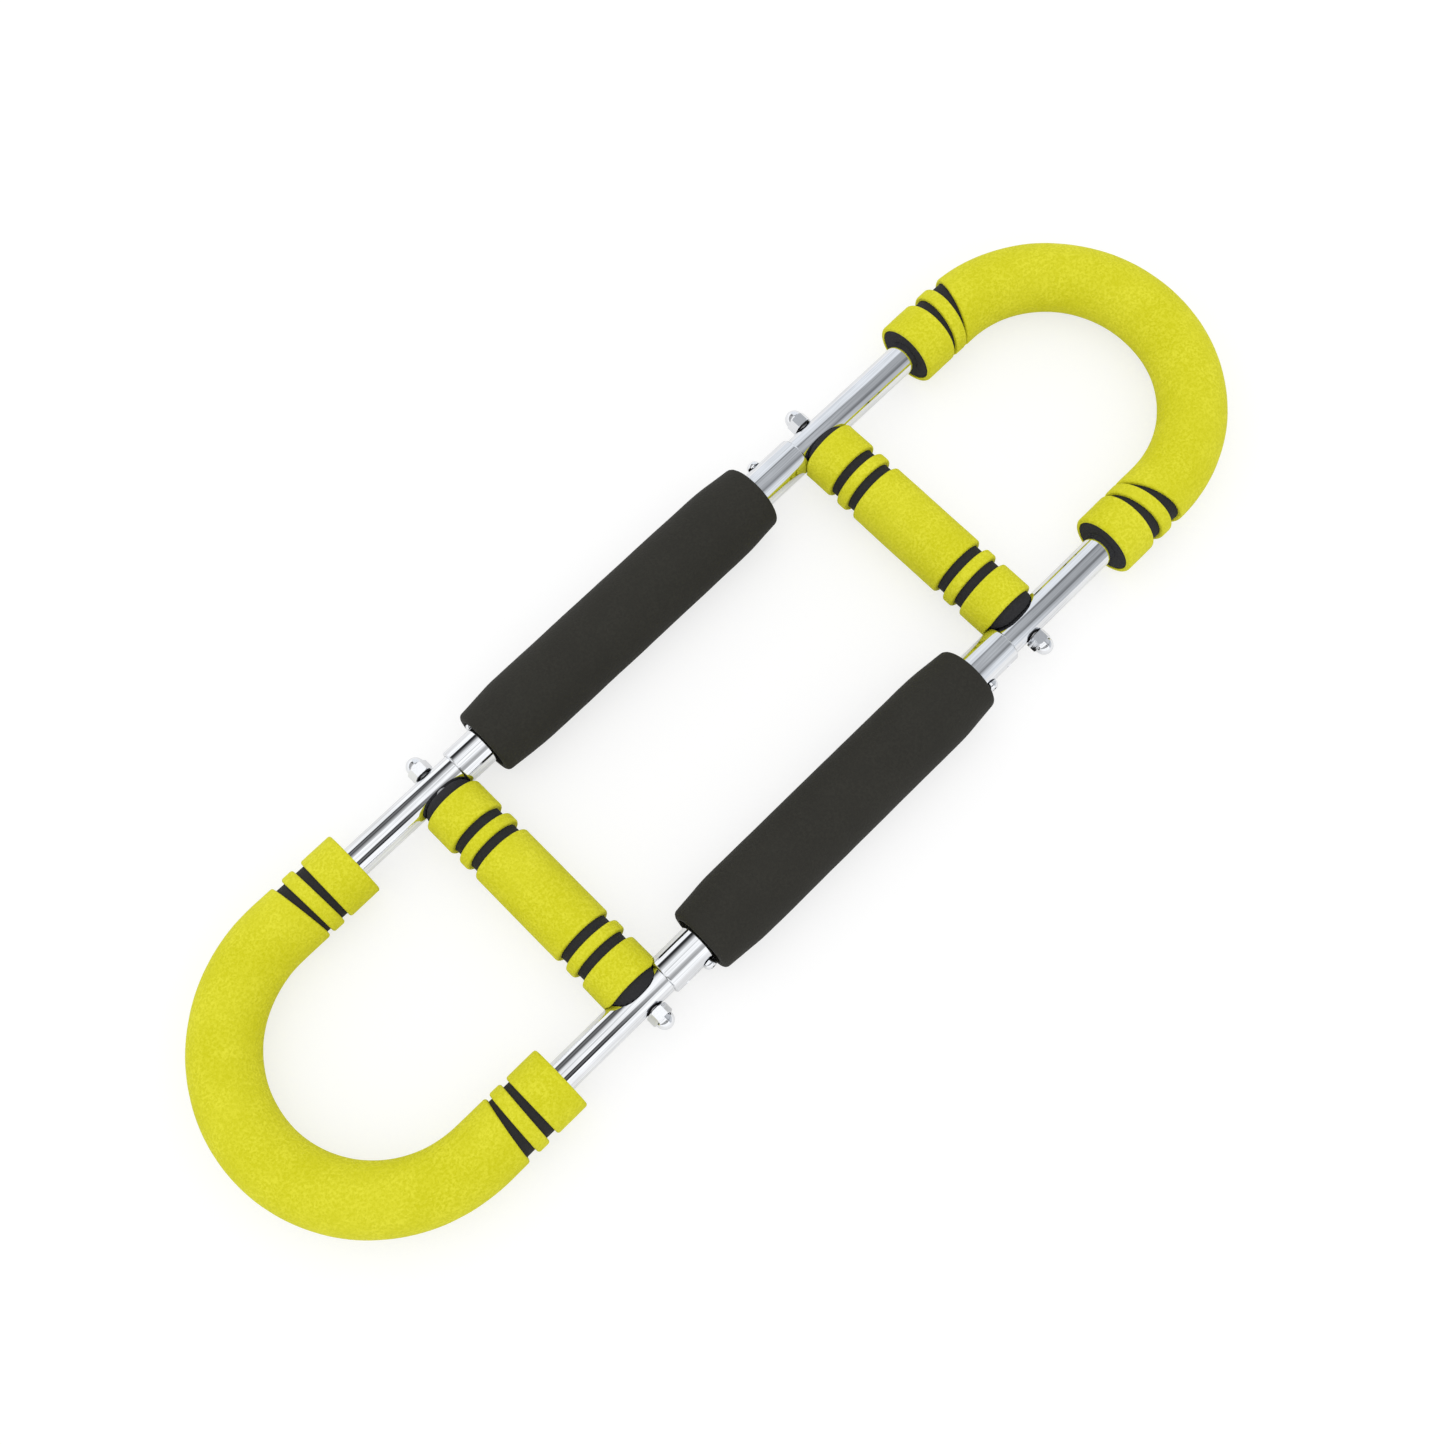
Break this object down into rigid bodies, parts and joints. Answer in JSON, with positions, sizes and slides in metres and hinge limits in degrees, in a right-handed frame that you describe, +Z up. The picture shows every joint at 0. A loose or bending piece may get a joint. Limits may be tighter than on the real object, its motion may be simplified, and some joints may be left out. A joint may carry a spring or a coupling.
{
  "type": "spring bending exerciser bar",
  "caption": "Two-handed spring bar for arm and chest exercise: foam-gripped U-shaped chrome handles with cross grips, joined by springs in black foam sleeves.",
  "frame": {"origin": "on the floor under the middle of the bar, centred between the two springs", "axes": "+X along the bar towards the right-hand hoop, +Y across it towards the back leg, +Z up"},
  "size_m": [0.6284, 0.179, 0.0385],
  "materials": {
    "chrome_plate": "polished plate",
    "plain_steel": "bare",
    "spring_steel": "oiled, dark",
    "yellow_foam": "matte closed-cell foam",
    "dark_foam_core": "matte closed-cell foam",
    "black_foam": "matte closed-cell foam",
    "black_washer": "moulded"
  },
  "bodies": {
    "spring_pack": {"front_spring": "spring_steel", "front_spring_sleeve": "black_foam", "back_spring": "spring_steel", "back_spring_sleeve": "black_foam"},
    "left_handle": {"left_hoop_tube": "chrome_plate", "left_cap_nuts": "chrome_plate", "left_socket_screws": "chrome_plate", "left_front_socket": "chrome_plate", "left_back_socket": "chrome_plate", "left_cross_tube": "plain_steel", "left_cross_stud": "plain_steel", "left_hoop_foam_core": "dark_foam_core", "left_cross_foam_core": "dark_foam_core", "left_hoop_grip_cover": "yellow_foam", "left_cross_grip_cover": "yellow_foam", "left_front_hoop_ring": "yellow_foam", "left_front_hoop_collar": "yellow_foam", "left_front_cross_ring": "yellow_foam", "left_front_cross_collar": "yellow_foam", "left_back_hoop_ring": "yellow_foam", "left_back_hoop_collar": "yellow_foam", "left_back_cross_ring": "yellow_foam", "left_back_cross_collar": "yellow_foam", "left_nut_washers": "black_washer"},
    "right_handle": {"right_hoop_tube": "chrome_plate", "right_cap_nuts": "chrome_plate", "right_socket_screws": "chrome_plate", "right_front_socket": "chrome_plate", "right_back_socket": "chrome_plate", "right_cross_tube": "plain_steel", "right_cross_stud": "plain_steel", "right_hoop_foam_core": "dark_foam_core", "right_cross_foam_core": "dark_foam_core", "right_hoop_grip_cover": "yellow_foam", "right_cross_grip_cover": "yellow_foam", "right_front_hoop_ring": "yellow_foam", "right_front_hoop_collar": "yellow_foam", "right_front_cross_ring": "yellow_foam", "right_front_cross_collar": "yellow_foam", "right_back_hoop_ring": "yellow_foam", "right_back_hoop_collar": "yellow_foam", "right_back_cross_ring": "yellow_foam", "right_back_cross_collar": "yellow_foam", "right_nut_washers": "black_washer"}
  },
  "joints": [
    {"name": "left_bend", "type": "hinge", "parent": "spring_pack", "child": "left_handle", "pos_m": [-0.034, 0, 0.019], "axis": [0, 1, 0], "range_deg": [-50, 50], "stiffness_Nm_per_rad": 20, "deforming": ["front_spring", "front_spring_sleeve", "back_spring", "back_spring_sleeve"]},
    {"name": "right_bend", "type": "hinge", "parent": "spring_pack", "child": "right_handle", "pos_m": [0.034, 0, 0.019], "axis": [0, -1, 0], "range_deg": [-50, 50], "stiffness_Nm_per_rad": 20, "deforming": ["front_spring", "front_spring_sleeve", "back_spring", "back_spring_sleeve"]}
  ],
  "couplings": [
    {"joint": "right_bend", "follows": "left_bend", "ratio": 1}
  ]
}
